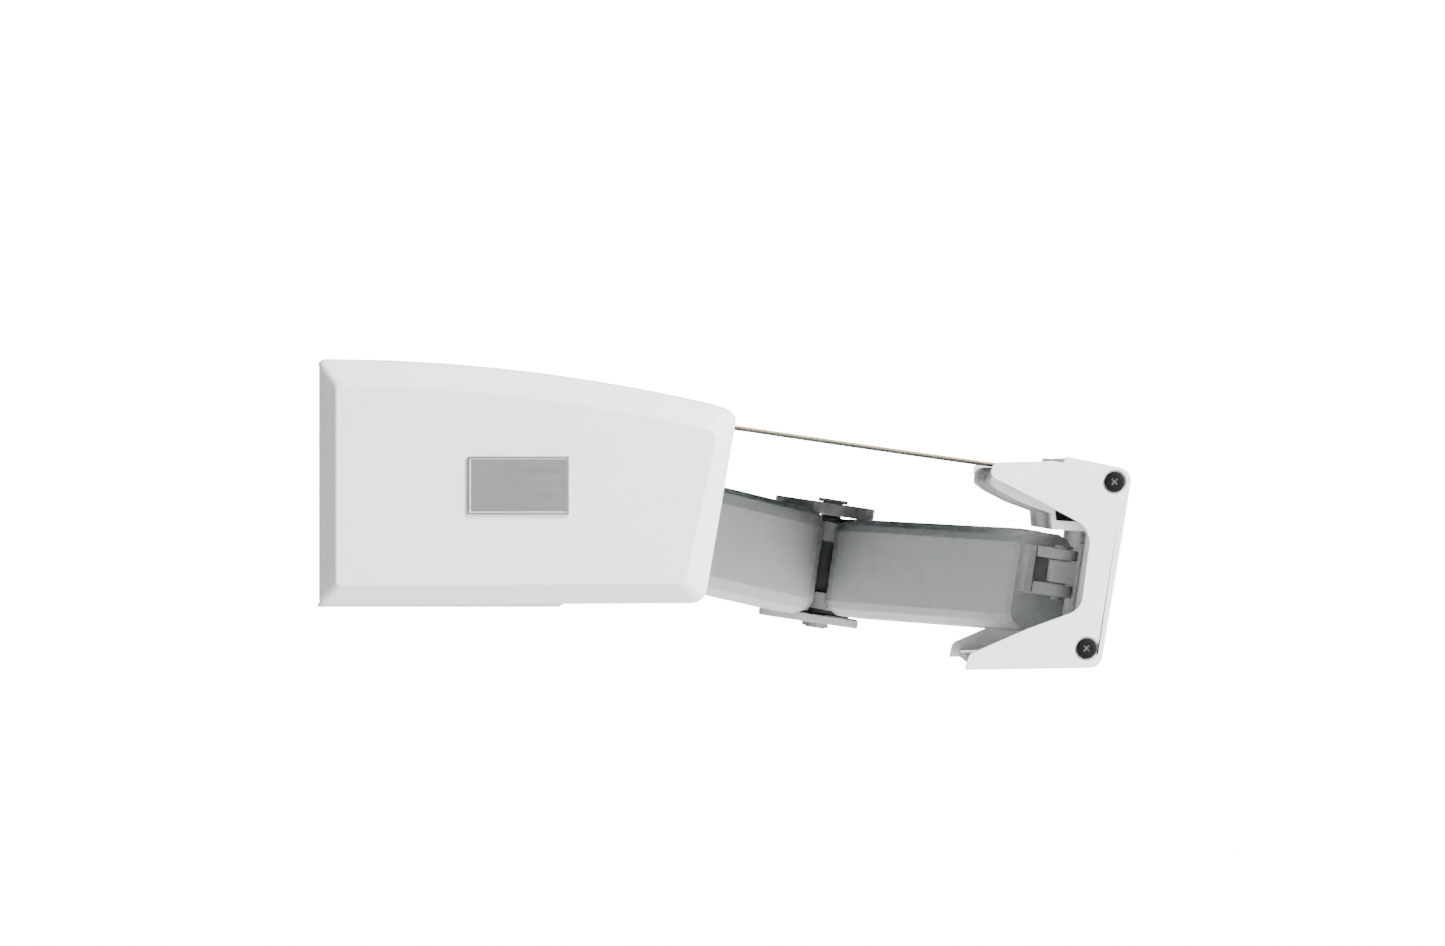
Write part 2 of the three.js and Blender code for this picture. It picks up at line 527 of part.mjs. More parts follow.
function shoulderKnuckle(hand) {
  const plan = hull([...circle(0, 0, SHOULDER_R, 24), ...edge(SHOULDER_BLOCK, hand, HINGE_EDGES[0] - 2, HINGE_EDGES[1] + 1)]);
  const block = beamBlock(REAR_BEAM, hand, [SHOULDER_BLOCK, SHOULDER_BLOCK + BLOCK - GAP]);
  const inside = spigot(REAR_BEAM, hand, [SHOULDER_BLOCK + BLOCK - 1, SHOULDER_BLOCK + BLOCK + SPIGOT]);
  const neck = standing(plan, SHOULDER_BARREL);
  const link = standing(rectangle([SHOULDER_BLOCK - 1, SHOULDER_BLOCK + 2],
    [hand * HINGE_EDGES[1] + hand * 4, hand * HINGE_EDGES[0] - hand * 4].sort((a, b) => a - b)), SHOULDER_BARREL);
  return cut(join(block, inside, neck, link), rod(0, 0, BORE_R, [SHOULDER_BARREL[0] - 1, SHOULDER_BARREL[1] + 1]));
}

function wristFork(hand) {
  const plan = hull([...circle(0, 0, WRIST_R, 24), ...edge(WRIST_BLOCK + 1, hand, HINGE_EDGES[0] - 4, HINGE_EDGES[1] + 1)]);
  const block = beamBlock(FRONT_BEAM, hand, [WRIST_BLOCK, WRIST_BLOCK + BLOCK - GAP]);
  const inside = spigot(FRONT_BEAM, hand, [WRIST_BLOCK + BLOCK - 1, WRIST_BLOCK + BLOCK + SPIGOT]);
  const lugs = WRIST_LUGS.map((level) => standing(plan, level));
  const web = standing(rectangle([WRIST_WEB.u, WRIST_BLOCK + 1],
    [hand * WRIST_WEB.v[0], hand * WRIST_WEB.v[1]].sort((a, b) => a - b)), [WRIST_LUGS[1][0], WRIST_LUGS[0][1]]);
  return cut(join(block, inside, web, ...lugs), rod(0, 0, WRIST_PIN_R + GAP, [WRIST_LUGS[1][0] - 1, WRIST_LUGS[0][1] + 1]));
}

for (const { name, sign } of SIDES) {
  const swing = sign * (Math.PI / 2 - REST);
  const rear = new THREE.Group();
  rear.position.set(0, sign * SHOULDER_Y, 0);
  rear.rotation.z = -swing;
  slope.add(rear);
  const rearHand = sign;
  beamProfile(`rear_arm_${name}`, REAR_BEAM, rearHand, SHOULDER_BLOCK + BLOCK, rear);
  piece(`shoulder_knuckle_${name}`, shoulderKnuckle(rearHand), CASTING, rear);
  piece(`elbow_fork_${name}`, rearElbowFork(rearHand), CASTING, rear);
  piece(`elbow_pin_${name}`, elbowPin(), STEEL, rear);
  piece(`tension_chain_${name}`, tensionChain(rearHand), DARK_STEEL, rear);
  piece(`arm_spring_${name}`, armSpring(rearHand), STEEL, rear);

  const front = new THREE.Group();
  front.position.set(WRIST_X, sign * SHOULDER_Y, 0);
  front.rotation.z = sign * (-Math.PI / 2 - REST);
  slope.add(front);
  const frontHand = -sign;
  beamProfile(`front_arm_${name}`, FRONT_BEAM, frontHand, WRIST_BLOCK + BLOCK, front);
  piece(`elbow_knuckle_${name}`, frontElbowKnuckle(frontHand), CASTING, front);
  piece(`wrist_fork_${name}`, wristFork(frontHand), CASTING, front);
}

// ---------------------------------------------------------------- shoulder brackets, cast in one with their arm
const WEB = { x: [-33, -24], half: 24 };
const BRACKET_ARM = { half: 20, z: [-66, -26] };
for (const { name, sign } of SIDES) {
  const y = sign * SHOULDER_Y;
  const cheekPlan = hull([...circle(0, 0, SHOULDER_R, 24), ...rectangle(WEB.x, [-WEB.half, WEB.half])]);
  const upper = [SHOULDER_BARREL[1] + 0.5, SHOULDER_BARREL[1] + 0.5 + SHOULDER_CHEEK];
  const lower = [SHOULDER_BARREL[0] - 0.5 - SHOULDER_CHEEK, SHOULDER_BARREL[0] - 0.5];
  const web = standing(rectangle(WEB.x, [-WEB.half, WEB.half]), [lower[0], upper[1]]);
  const bore = rod(0, 0, BORE_R, [lower[0] - 1, upper[1] + 1]);
  const fork = cut(join(standing(cheekPlan, upper), standing(cheekPlan, lower), web), bore)
    .translate(0, y, 0).applyMatrix4(slope.matrix);
  const armEnd = SHOULDER.x + WEB.x[1];
  const arm = across([[BACK_WALL + SHELL + GAP, BRACKET_ARM.z[0]], [armEnd - 22, BRACKET_ARM.z[0]],
    [armEnd, BRACKET_ARM.z[0] + 22], [armEnd - 4, BRACKET_ARM.z[1]], [BACK_WALL + SHELL + GAP, BRACKET_ARM.z[1]]],
  [y - BRACKET_ARM.half, y + BRACKET_ARM.half]);
  piece(`shoulder_bracket_${name}`, join(fork, arm), CASTING);
  const pin = join(rod(0, 0, PIN_R, [lower[0] - 3, upper[1] + 2.5]), rod(0, 0, PIN_R + 3, [upper[1] + GAP, upper[1] + 2.5]));
  piece(`shoulder_pin_${name}`, pin, STEEL, slope).position.y = y;
}

// ---------------------------------------------------------------- front bar
const bar = new THREE.Group();
bar.position.x = WRIST_X;
slope.add(bar);

const UPSTAND = { x: [-8.5, -6.5], z: 67.2 };
const LIP = 3.6;
const LIP_X = CLAW_X + 8;
const barTop = 65;
const barBottom = (x) => -52.6 + 0.18 * (x - BAR_FACE + CAP_LIP);
const profileOutline = rounded([
  [CLAW_X + 1.5, 55.6, 5],
  [HEM_GROOVE.x, 60.4], [HEM_GROOVE.x, HEM_GROOVE.floor], [UPSTAND.x[0], HEM_GROOVE.floor],
  [UPSTAND.x[0], UPSTAND.z], [UPSTAND.x[1], UPSTAND.z],
  [BAR_FACE - CAP_LIP + 1.5, barTop, 7],
  [BAR_FACE - CAP_LIP, barBottom(BAR_FACE - CAP_LIP), 6],
  [LIP_X, barBottom(LIP_X)], [LIP_X, barBottom(LIP_X) + LIP],
  [BAR_INNER, barBottom(BAR_INNER) + LIP, 4],
  [BAR_INNER, 26, 3], [-9.4, 23.6], [-11.7, 33.2], [-28.7, 36.7], [-43.5, 41.8], [CLAW_X + 0.5, 45.6, 4],
], 4);
const upperChamber = [
  [-43, 51.5], [-18, 54.4], [BAR_INNER - 1, 54.4], [BAR_INNER - 1, 31], [-8, 29.5], [-9.6, 36], [-43, 46.5],
];
const frontChamber = rectangle([BAR_INNER + 3, BAR_FACE - CAP_LIP - 3], [SCREWS[1][1] + 8, SCREWS[0][1] - 9]);
const screwHoles = SCREWS.map(([x, z]) => circle(x, z, SCREW_R + GAP, 12));
const BAR_END = HALF - BAR_CAP - GAP;
piece('front_bar_profile', across(profileOutline, [-BAR_END, BAR_END],
  [upperChamber, frontChamber, ...screwHoles]), PAINT, bar);

const capOutline = rounded([
  [CLAW_X, 58.2, 4.6], [-15.1, 64.4], [-9.2, 64.2], [-7.8, 68.4, 1],
  [BAR_FACE + 1.7, 66.2, 8], [BAR_FACE, -54, 8], [CLAW_X + 2, -67.4, 1], [CLAW_X + 3, -57.8, 5],
  [-15.7, -37.6], [14.4, -21.2, 12], [13.4, 27.4, 14], [-13.8, 37.3], [CLAW_X, 49.6, 4.6],
], 5);
for (const { name, sign } of SIDES) {
  const body = across(capOutline, span(sign, HALF - BAR_CAP, HALF));
  const sinks = SCREWS.map(([x, z]) => rodAcross(x, z, HEAD_R + 0.6, span(sign, HALF - 1.4, HALF + 1)));
  const holes = SCREWS.map(([x, z]) => rodAcross(x, z, SCREW_R + GAP, span(sign, HALF - BAR_CAP - 1, HALF), 12));
  piece(`bar_cap_${name}`, cut(body, ...sinks, ...holes), CAP_PLASTIC, bar);
  SCREWS.forEach(([x, z], i) => {
    const head = rodAcross(x, z, HEAD_R, span(sign, HALF - 1.4 + GAP, HALF + 0.8));
    const shank = rodAcross(x, z, SCREW_R, span(sign, HALF - 26, HALF), 12);
    const bars = [[3.2, 0.6], [0.6, 3.2]].map(([a, b]) =>
      across(rectangle([x - a, x + a], [z - b, z + b]), span(sign, HALF, HALF + 2)));
    piece(`cap_screw_${name}_${i === 0 ? 'top' : 'bottom'}`, cut(join(head, shank), ...bars), BLACK_SCREW, bar);
  });

  // bracket on the bar that carries the arm's end
  const y = sign * SHOULDER_Y;
  const foot = forward(rectangle([-16, 16], [-26, 18]), [BAR_INNER - 2.6, BAR_INNER - GAP]);
  const tongue = standing(hull([...circle(0, 0, TONGUE_R, 20), [BAR_INNER - 2, -TONGUE_R], [BAR_INNER - 2, TONGUE_R]]), WRIST_TONGUE);
  const eye = rod(0, 0, WRIST_PIN_R + GAP, [WRIST_TONGUE[0] - 1, WRIST_TONGUE[1] + 1], 16);
  const wristBody = piece(`wrist_bracket_${name}`, cut(join(foot, tongue), eye), CASTING, bar);
  wristBody.position.y = y;
  const [upperLug, lowerLug] = WRIST_LUGS;
  const wristPin = join(rod(0, 0, WRIST_PIN_R, [lowerLug[0] - 2, upperLug[1] + 2], 16),
    rod(0, 0, WRIST_PIN_R + 2, [upperLug[1] + GAP, upperLug[1] + 2], 16));
  piece(`wrist_pin_${name}`, wristPin, STEEL, bar).position.y = y;
}
const FABRIC_HALF = HALF - FABRIC_INSET;
piece('hem_rod', rodAcross(HEM_ROD.x, HEM_ROD.z, HEM_ROD.r, [-FABRIC_HALF, FABRIC_HALF], 10), DARK_STEEL, bar);

// ---------------------------------------------------------------- fabric from the roller to the front bar
const clothPath = [
  [ROLLER_X + 1, FABRIC_LEVEL - FABRIC_THICK / 2],
  [WRIST_X + CLAW_X + 1, FABRIC_LEVEL - FABRIC_THICK / 2],
  [WRIST_X - 16, 61.2],
];
const cloth = [...clothPath, ...clothPath.map(([x, z]) => [x, z + FABRIC_THICK]).reverse()];
piece('fabric', across(cloth, [-FABRIC_HALF, FABRIC_HALF]), CLOTH, slope);

export default awning;
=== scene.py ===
"""Looks of a full-cassette folding-arm awning, seen from its left end.

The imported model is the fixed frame. Each class below dresses one sub-assembly of it and
models the pieces that need a finer surface than the frame has.
"""

import logging
import math
from dataclasses import dataclass, field
from enum import Enum
from typing import Callable, Sequence

import bpy
from mathutils import Matrix, Vector


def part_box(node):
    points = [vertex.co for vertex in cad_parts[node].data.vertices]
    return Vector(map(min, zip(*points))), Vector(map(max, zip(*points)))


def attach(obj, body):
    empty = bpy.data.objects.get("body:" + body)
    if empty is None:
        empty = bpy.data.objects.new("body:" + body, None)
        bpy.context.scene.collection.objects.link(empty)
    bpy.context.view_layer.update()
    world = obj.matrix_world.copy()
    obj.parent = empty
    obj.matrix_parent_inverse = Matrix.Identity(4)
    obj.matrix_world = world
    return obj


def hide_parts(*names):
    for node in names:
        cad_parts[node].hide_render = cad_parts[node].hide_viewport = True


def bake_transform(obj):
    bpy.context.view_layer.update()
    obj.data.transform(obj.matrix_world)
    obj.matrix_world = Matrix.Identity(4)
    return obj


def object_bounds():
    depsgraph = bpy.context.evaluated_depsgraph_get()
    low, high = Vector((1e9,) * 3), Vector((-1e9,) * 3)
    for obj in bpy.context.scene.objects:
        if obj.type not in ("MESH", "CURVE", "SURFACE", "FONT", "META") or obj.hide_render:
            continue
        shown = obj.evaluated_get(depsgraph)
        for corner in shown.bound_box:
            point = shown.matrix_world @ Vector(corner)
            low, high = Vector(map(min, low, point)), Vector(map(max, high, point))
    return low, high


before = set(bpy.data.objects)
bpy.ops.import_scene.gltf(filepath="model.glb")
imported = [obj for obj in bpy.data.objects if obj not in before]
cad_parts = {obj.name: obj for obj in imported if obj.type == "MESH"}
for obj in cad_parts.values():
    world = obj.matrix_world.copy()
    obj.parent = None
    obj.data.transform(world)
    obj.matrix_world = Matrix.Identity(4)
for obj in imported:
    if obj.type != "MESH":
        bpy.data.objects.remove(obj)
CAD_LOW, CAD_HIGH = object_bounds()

LOG = logging.getLogger("awning")
MM = 0.001
SIDES = (("left", -1), ("right", 1))
SMOOTH_UNDER = math.radians(32)
CAST_SMOOTH = math.radians(16)
CRISP = math.radians(6)
MERGE_WITHIN = 2e-6  # metres
FLAT_WITHIN = math.radians(0.3)
LEVEL_WITHIN = 0.1 * MM
FACES_END = 0.9  # least share of a normal along Y on a face that looks out of an end
# the arms' hinge plane: along it away from the wall, and square to it
DOWN_SLOPE = Vector((0.989016, 0, -0.147809))
HINGE_AXIS = Vector((0.147809, 0, 0.989016))


class Slot(Enum):
    """The record's material slots that new pieces take their finish from."""

    CAP = "cap_plastic"
    COAT = "powder_coat"
    ARM = "arm_paint"
    CASTING = "casting"
    STEEL = "steel"
    GALVANISED = "galvanised"
    SCREW = "black_screw"
    BADGE = "badge_metal"
    CLOTH = "cloth"
    RUBBER = "rubber"
    MOTOR = "motor_case"


# ---------------------------------------------------------------- shader helpers
def linear(colour: str) -> tuple[float, float, float, float]:
    """Turns an sRGB hex colour into linear light.

    Args:
        colour: Six hex digits, with or without a leading #.

    Returns:
        Red, green, blue and an alpha of 1.
    """
    digits = colour.lstrip("#")
    parts = [int(digits[i:i + 2], 16) / 255 for i in (0, 2, 4)]
    r, g, b = (c / 12.92 if c <= 0.04045 else ((c + 0.055) / 1.055) ** 2.4 for c in parts)
    return r, g, b, 1.0


def add_node(tree: bpy.types.NodeTree, kind: str, inputs: dict | None = None, **settings) -> bpy.types.Node:
    """Adds one shader node with its settings, values and links.

    Args:
        tree: The material's node tree.
        kind: The node's type name.
        inputs: Socket name or number to a value, or to an output socket to link.
        **settings: Attributes of the node.

    Returns:
        The new node.
    """
    node = tree.nodes.new(kind)
    for key, value in settings.items():
        setattr(node, key, value)
    for key, value in (inputs or {}).items():
        if isinstance(value, bpy.types.NodeSocket):
            tree.links.new(value, node.inputs[key])
        else:
            node.inputs[key].default_value = value
    return node


def new_material(name: str) -> tuple[bpy.types.Material, bpy.types.NodeTree]:
    """Makes an empty node material.

    Args:
        name: The material's name.

    Returns:
        The material and its cleared node tree.
    """
    material = bpy.data.materials.new(name)
    material.use_nodes = True
    material.node_tree.nodes.clear()
    return material, material.node_tree


def per_metre(size_mm: float) -> float:
    """Scale of a texture whose features are size_mm across, on Object coordinates."""
    return 1 / (size_mm * MM)


def tinted(tree: bpy.types.NodeTree, factor: bpy.types.NodeSocket, low: str,
           high: str) -> bpy.types.NodeSocket:
    """Mixes two hex colours by a factor.

    Args:
        tree: The node tree.
        factor: Output socket that runs from 0 to 1.
        low: Colour where the factor is 0.
        high: Colour where the factor is 1.

    Returns:
        The colour output.
    """
    mix = add_node(tree, "ShaderNodeMix", {0: factor, 6: linear(low), 7: linear(high)}, data_type="RGBA")
    return mix.outputs[2]


@dataclass(frozen=True)
class Coating:
    """A coat of paint or a moulded skin: even colour with a fine texture.

    The eye gets a soft sheen that breaks up over tiny bumps, and slightly uneven tone.
    """

    name: str
    low: str
    high: str
    roughness: float
    grain_mm: float
    bump_mm: float
    metallic: float = 0.0
    coat: float = 0.0
    specular: float = 0.5
    cloud_mm: float = 60
    sheen_spread: float = 0.05
    relief: float = 0.5

    def build(self) -> bpy.types.Material:
        """Builds the material."""
        material, tree = new_material(self.name)
        place = add_node(tree, "ShaderNodeTexCoord").outputs["Object"]
        cloud = add_node(tree, "ShaderNodeTexNoise",
                         {"Vector": place, "Scale": per_metre(self.cloud_mm), "Detail": 3.0})
        grain = add_node(tree, "ShaderNodeTexNoise",
                         {"Vector": place, "Scale": per_metre(self.grain_mm), "Detail": 2.0})
        bump = add_node(tree, "ShaderNodeBump",
                        {"Height": grain.outputs["Fac"], "Distance": self.bump_mm * MM,
                         "Strength": self.relief})
        shine = add_node(tree, "ShaderNodeMapRange",
                         {"Value": cloud.outputs["Fac"], "To Min": self.roughness - self.sheen_spread,
                          "To Max": self.roughness + self.sheen_spread})
        shader = add_node(tree, "ShaderNodeBsdfPrincipled",
                          {"Base Color": tinted(tree, cloud.outputs["Fac"], self.low, self.high),
                           "Roughness": shine.outputs[0], "Metallic": self.metallic,
                           "Coat Weight": self.coat, "Specular IOR Level": self.specular,
                           "Normal": bump.outputs[0]})
        add_node(tree, "ShaderNodeOutputMaterial", {"Surface": shader.outputs[0]})
        return material


@dataclass(frozen=True)
class WorkedMetal:
    """Bare or plated metal with marks that run one way, as drawing, turning or rolling leaves them.

    The eye gets streaked highlights along the working direction.
    """

    name: str
    low: str
    high: str
    roughness: float
    streak_mm: tuple[float, float, float]
    smoother: float = 0.08
    rougher: float = 0.12
    scratch_mm: float = 0.03
    relief: float = 0.4

    def build(self) -> bpy.types.Material:
        """Builds the material."""
        material, tree = new_material(self.name)
        place = add_node(tree, "ShaderNodeTexCoord").outputs["Object"]
        stretch = add_node(tree, "ShaderNodeMapping",
                           {"Vector": place, "Scale": tuple(per_metre(s) for s in self.streak_mm)})
        streak = add_node(tree, "ShaderNodeTexNoise",
                          {"Vector": stretch.outputs[0], "Scale": 1.0, "Detail": 4.0})
        shine = add_node(tree, "ShaderNodeMapRange",
                         {"Value": streak.outputs["Fac"], "To Min": self.roughness - self.smoother,
                          "To Max": self.roughness + self.rougher})
        bump = add_node(tree, "ShaderNodeBump",
                        {"Height": streak.outputs["Fac"], "Distance": self.scratch_mm * MM,
                         "Strength": self.relief})
        shader = add_node(tree, "ShaderNodeBsdfPrincipled",
                          {"Base Color": tinted(tree, streak.outputs["Fac"], self.low, self.high),
                           "Metallic": 1.0, "Roughness": shine.outputs[0], "Normal": bump.outputs[0]})
        add_node(tree, "ShaderNodeOutputMaterial", {"Surface": shader.outputs[0]})
        return material


@dataclass(frozen=True)
class Galvanised:
    """Hot-dip zinc on steel sheet: a mosaic of pale and darker crystals."""

    name: str = "galvanised_steel"
    low: str = "#8d9194"
    high: str = "#b9bcbe"
    spangle_mm: float = 7.0
    metallic: float = 0.9
    smoothest: float = 0.35
    roughest: float = 0.55

    def build(self) -> bpy.types.Material:
        """Builds the material."""
        material, tree = new_material(self.name)
        place = add_node(tree, "ShaderNodeTexCoord").outputs["Object"]
        spangle = add_node(tree, "ShaderNodeTexVoronoi",
                           {"Vector": place, "Scale": per_metre(self.spangle_mm)})
        tone = add_node(tree, "ShaderNodeSeparateColor", {0: spangle.outputs["Color"]})
        shine = add_node(tree, "ShaderNodeMapRange",
                         {"Value": tone.outputs[1], "To Min": self.smoothest, "To Max": self.roughest})
        shader = add_node(tree, "ShaderNodeBsdfPrincipled",
                          {"Base Color": tinted(tree, tone.outputs[0], self.low, self.high),
                           "Metallic": self.metallic, "Roughness": shine.outputs[0]})
        add_node(tree, "ShaderNodeOutputMaterial", {"Surface": shader.outputs[0]})
        return material


@dataclass(frozen=True)
class AwningCloth:
    """Solution-dyed acrylic canvas, plain woven, in golden sand.

    The eye gets a matt surface with crossing yarns and a slight melange of the dyed fibres, over a
    dark coated underside. The real yarns are 0.5 mm apart, and are drawn 1.6 mm apart to show.
    """

    name: str = "woven_acrylic_canvas"
    shade: str = "#8a6f3a"
    light: str = "#c9b27a"
    under: str = "#3c4a4c"
    yarn_mm: float = 1.6
    yarn_wander: float = 0.6
    fleck_mm: float = 3
    yarn_height_mm: float = 0.25
    relief: float = 0.8
    roughness: float = 0.9
    sheen: float = 0.25
    faces_down: float = -0.6

    def build(self) -> bpy.types.Material:
        """Builds the material."""
        material, tree = new_material(self.name)
        place = add_node(tree, "ShaderNodeTexCoord").outputs["Object"]
        scale = per_metre(self.yarn_mm) * math.tau / 20  # a wave's scale counts in twentieths of a turn
        wave = {"Vector": place, "Scale": scale, "Distortion": self.yarn_wander}
        warp = add_node(tree, "ShaderNodeTexWave", wave, bands_direction="X")
        weft = add_node(tree, "ShaderNodeTexWave", wave, bands_direction="Y")
        yarns = add_node(tree, "ShaderNodeMath", {0: warp.outputs["Fac"], 1: weft.outputs["Fac"]},
                         operation="MULTIPLY")
        melange = add_node(tree, "ShaderNodeTexNoise",
                           {"Vector": place, "Scale": per_metre(self.fleck_mm), "Detail": 4.0})
        tone = add_node(tree, "ShaderNodeMath",
                        {0: yarns.outputs[0], 1: melange.outputs["Fac"]}, operation="ADD")
        spread = add_node(tree, "ShaderNodeMapRange",
                          {"Value": tone.outputs[0], "From Min": 0.3, "From Max": 1.4})
        bump = add_node(tree, "ShaderNodeBump",
                        {"Height": yarns.outputs[0], "Distance": self.yarn_height_mm * MM,
                         "Strength": self.relief})
        facing = add_node(tree, "ShaderNodeNewGeometry").outputs["Normal"]
        upward = add_node(tree, "ShaderNodeSeparateXYZ", {0: facing}).outputs["Z"]
        below = add_node(tree, "ShaderNodeMath", {0: upward, 1: self.faces_down}, operation="LESS_THAN")
        colour = add_node(tree, "ShaderNodeMix",
                          {0: below.outputs[0], 6: tinted(tree, spread.outputs[0], self.shade, self.light),
                           7: linear(self.under)}, data_type="RGBA")
        shader = add_node(tree, "ShaderNodeBsdfPrincipled",
                          {"Base Color": colour.outputs[2],
                           "Roughness": self.roughness, "Sheen Weight": self.sheen,
                           "Normal": bump.outputs[0]})
        add_node(tree, "ShaderNodeOutputMaterial", {"Surface": shader.outputs[0]})
        return material


FINISHES: dict[Slot, Coating | WorkedMetal | Galvanised | AwningCloth] = {
    # moulded ASA, spark-eroded: matt with a fine even grain
    Slot.CAP: Coating("moulded_asa_cap", "#dfdfdf", "#e5e5e5", 0.5, 0.9, 0.05),
    # polyester powder on aluminium: satin with a faint orange peel
    Slot.COAT: Coating("white_powder_coat", "#dcdcdc", "#e2e2e2", 0.42, 2.2, 0.05, coat=0.1),
    # metallic grey powder on drawn aluminium
    Slot.ARM: Coating("grey_powder_coat", "#b2b5b5", "#babcbc", 0.45, 2.0, 0.05),
    # the same grey on sand castings: rougher
    Slot.CASTING: Coating("painted_casting", "#a8abab", "#b0b3b3", 0.5, 1.6, 0.12),
    # cold-drawn steel, zinc plated: streaked highlights along the drawing
    Slot.STEEL: WorkedMetal("bright_steel", "#8c8f91", "#b3b5b6", 0.32, (2.0, 2.0, 0.4)),
    # zinc-dipped sheet: a dull mosaic of crystals
    Slot.GALVANISED: Galvanised(),
    # black zinc over steel: a soft dark shine
    Slot.SCREW: Coating("black_zinc_screw", "#050606", "#0b0c0d", 0.5, 1.2, 0.02, specular=0.15),
    # brushed aluminium sheet: fine lines along its length
    Slot.BADGE: WorkedMetal("brushed_aluminium_plate", "#8b8b8b", "#999999", 0.45, (30.0, 5.0, 0.5)),
    # woven canvas: matt, golden, with visible yarns
    Slot.CLOTH: AwningCloth(),
    # moulded EPDM: black and nearly without shine
    Slot.RUBBER: Coating("black_rubber", "#202123", "#2b2c2e", 0.75, 1.4, 0.08),
    # enamelled steel tube of the motor
    Slot.MOTOR: Coating("motor_enamel", "#3c4043", "#464a4d", 0.4, 1.8, 0.04, coat=0.2),
}


class Paintbox:
    """Builds each finish once and puts it on pieces."""

    def __init__(self) -> None:
        """Builds every material."""
        self.by_slot = {slot: finish.build() for slot, finish in FINISHES.items()}

    def dress(self, piece: bpy.types.Object, slot: Slot) -> bpy.types.Object:
        """Gives a piece one finish all over.

        Args:
            piece: A mesh object.
            slot: The finish.

        Returns:
            The same object.
        """
        piece.data.materials.clear()
        piece.data.materials.append(self.by_slot[slot])
        return piece

    def dress_node(self, node: str, slot: Slot) -> None:
        """Gives a node of the frame its finish, without touching its mesh.

        Args:
            node: The node's name.
            slot: The finish.
        """
        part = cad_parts[node]
        if not part.material_slots:
            part.data.materials.append(None)
        for holder in part.material_slots:
            holder.link = "OBJECT"
            holder.material = self.by_slot[slot]


# ---------------------------------------------------------------- modelling helpers
def pick(piece: bpy.types.Object) -> None:
    """Makes a piece the only selected and active one."""
    bpy.ops.object.select_all(action="DESELECT")
    piece.select_set(True)
    bpy.context.view_layer.objects.active = piece


def settle(piece: bpy.types.Object, name: str, body: str,
           smooth_under: float = SMOOTH_UNDER) -> bpy.types.Object:
    """Applies a piece's place, smooths it, names it and hands it to its body.

    Args:
        piece: The modelled piece.
        name: Its final name.
        body: The body it rides on.
        smooth_under: Edges that turn by less than this many radians are shaded smooth.

    Returns:
        The piece.
    """
    pick(piece)
    bpy.ops.object.transform_apply(location=True, rotation=True, scale=True)
    bpy.ops.object.shade_smooth_by_angle(angle=smooth_under)
    flatten = piece.modifiers.new("flat_faces_stay_flat", "WEIGHTED_NORMAL")
    flatten.keep_sharp = True
    bpy.ops.object.modifier_apply(modifier=flatten.name)
    piece.name = name
    piece.data.name = name
    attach(piece, body)
    LOG.info("%s: %d faces on %s", name, len(piece.data.polygons), body)
    return piece


def select_faces(piece: bpy.types.Object, wanted: Callable[[bpy.types.MeshPolygon], bool]) -> int:
    """Selects faces in object mode by a test.

    Args:
        piece: The piece, in object mode.
        wanted: Says whether a face is selected.

    Returns:
        How many faces are selected.
    """
    mesh = piece.data
    mesh.polygons.foreach_set("select", [False] * len(mesh.polygons))
    mesh.edges.foreach_set("select", [False] * len(mesh.edges))
    mesh.vertices.foreach_set("select", [False] * len(mesh.vertices))
    count = 0
    for face in mesh.polygons:
        face.select = wanted(face)
        count += face.select
    return count


def apply_bevel(piece: bpy.types.Object, width_mm: float, segments: int, over: float) -> None:
    """Rounds a piece's sharp edges with an applied Bevel modifier.

    Args:
        piece: The piece.
        width_mm: Width of the rounding.
        segments: Steps across it.
        over: Only edges that turn by more than this many degrees are rounded.
    """
    pick(piece)
    bevel = piece.modifiers.new("rounding", "BEVEL")
    bevel.width = width_mm * MM
    bevel.segments = segments
    bevel.limit_method = "ANGLE"
    bevel.angle_limit = math.radians(over)
    bevel.use_clamp_overlap = False
    bpy.ops.object.modifier_apply(modifier=bevel.name)


def refined(node: str, width_mm: float, over: float = 28, segments: int = 2) -> bpy.types.Object:
    """Copies a node of the frame as a clean mesh with rounded edges.

    Args:
        node: The node to copy.
        width_mm: Width of the rounding.
        over: Only edges that turn by more than this many degrees are rounded.
        segments: Steps across the rounding.

    Returns:
        The new object, which replaces the node.
    """
    copy = bpy.data.objects.new(f"{node}_finished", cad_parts[node].data.copy())
    bpy.context.collection.objects.link(copy)
    pick(copy)
    bpy.ops.object.mode_set(mode="EDIT")
    bpy.ops.mesh.select_all(action="SELECT")
    bpy.ops.mesh.remove_doubles(threshold=MERGE_WITHIN)
    bpy.ops.mesh.dissolve_limited(angle_limit=FLAT_WITHIN)
    bpy.ops.object.mode_set(mode="OBJECT")
    apply_bevel(copy, width_mm, segments, over)
    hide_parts(node)
    return copy


def block(low: Sequence[float], high: Sequence[float]) -> bpy.types.Object:
    """Adds a cube stretched between two corners, with its scale applied.

    Args:
        low: Lowest corner in metres.
        high: Highest corner in metres.

    Returns:
        The new object.
    """
    bpy.ops.object.select_all(action="DESELECT")
    centre = [(a + b) / 2 for a, b in zip(low, high)]
    bpy.ops.mesh.primitive_cube_add(size=1, location=centre)
    piece = bpy.context.object
    piece.scale = [b - a for a, b in zip(low, high)]
    bpy.ops.object.transform_apply(location=True, rotation=True, scale=True)
    return piece


def centre_of(node: str) -> Vector:
    """Middle of a node's box at rest."""
    low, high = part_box(node)
    return (Vector(low) + Vector(high)) / 2


